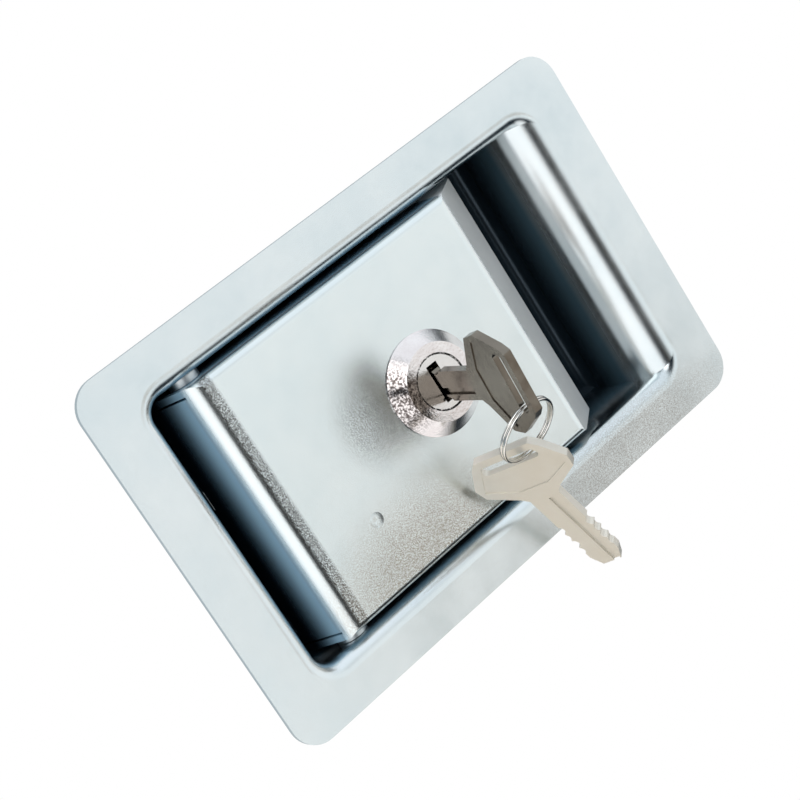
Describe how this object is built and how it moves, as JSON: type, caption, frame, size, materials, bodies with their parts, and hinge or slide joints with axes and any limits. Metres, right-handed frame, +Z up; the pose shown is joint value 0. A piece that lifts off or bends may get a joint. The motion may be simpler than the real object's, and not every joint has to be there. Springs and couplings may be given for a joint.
{
  "type": "flush paddle door lock",
  "caption": "Flush-mounted paddle lock for a machine's side door: drawn sheet pan, sprung paddle with key cylinder, hook latch behind it, and keys on a split ring",
  "frame": {"origin": "middle of the flange's back face, which lies on the door's skin, at the centre of the stud pattern", "axes": "X runs across the door towards the finger pocket, Y runs into the door along the studs, Z runs up; the front faces -Y"},
  "size_m": [0.1394, 0.0865, 0.0991],
  "materials": {
    "zinc_sheet": "bright zinc-plated steel sheet with a faint blue passivation",
    "zinc_plate": "zinc-plated steel hardware",
    "spring_steel": "drawn spring steel",
    "chrome_lock": "chrome-plated zinc die casting",
    "brass_wafer": "stamped brass",
    "brass_bush": "sintered bronze bush",
    "nickel_key": "nickel-plated brass",
    "nickel_ring": "nickel-plated spring wire"
  },
  "bodies": {
    "pan": {"pan": "zinc_sheet", "mounting_studs": "zinc_plate", "pivot_pin": "zinc_plate", "pivot_clip": "spring_steel", "pivot_washers": "zinc_plate", "paddle_spring": "spring_steel", "cam_keeper": "zinc_sheet", "hook_bracket": "zinc_sheet", "hook_pin": "zinc_plate", "hook_spring": "spring_steel"},
    "paddle": {"paddle": "zinc_sheet", "backing_plate": "zinc_sheet", "lock_body": "chrome_lock", "lock_washer": "zinc_plate", "lock_nut": "zinc_plate"},
    "plug": {"plug": "chrome_lock", "wafers": "brass_wafer", "cam": "zinc_plate", "cam_washer": "zinc_plate", "cam_screw": "zinc_plate"},
    "key": {"key": "nickel_key"},
    "ring": {"key_ring": "nickel_ring"},
    "spare": {"spare_key": "nickel_key"},
    "hook": {"hook": "zinc_plate", "hook_bush": "brass_bush"}
  },
  "joints": [
    {"name": "paddle_lift", "type": "hinge", "parent": "pan", "child": "paddle", "pos_m": [-0.0439, 0.0058, 0], "axis": [0, 0, -1], "range_deg": [0, 38], "stiffness_Nm_per_rad": 0.3, "springref_deg": -34.38, "deforming": ["paddle_spring"]},
    {"name": "hook_swing", "type": "hinge", "parent": "pan", "child": "hook", "pos_m": [-0.037, 0.0335, 0], "axis": [0, 0, 1], "range_deg": [0, 27], "deforming": ["hook_spring"]},
    {"name": "plug_turn", "type": "hinge", "parent": "paddle", "child": "plug", "pos_m": [0.0005, 0, 0], "axis": [0, 1, 0], "range_deg": [-90, 0]},
    {"name": "key_pull", "type": "slide", "parent": "plug", "child": "key", "axis": [0, -1, 0], "range_m": [0, 0.018]},
    {"name": "ring_swing", "type": "hinge", "parent": "key", "child": "ring", "pos_m": [0.0005, -0.02947, -0.00861], "axis": [1, 0, 0], "range_deg": [-30, 5]},
    {"name": "spare_swing", "type": "hinge", "parent": "ring", "child": "spare", "pos_m": [0.0005, -0.01956, -0.0196], "axis": [1, 0, 0], "range_deg": [-8, 3]}
  ],
  "couplings": [
    {"joint": "hook_swing", "follows": "paddle_lift", "ratio": 0.7}
  ]
}
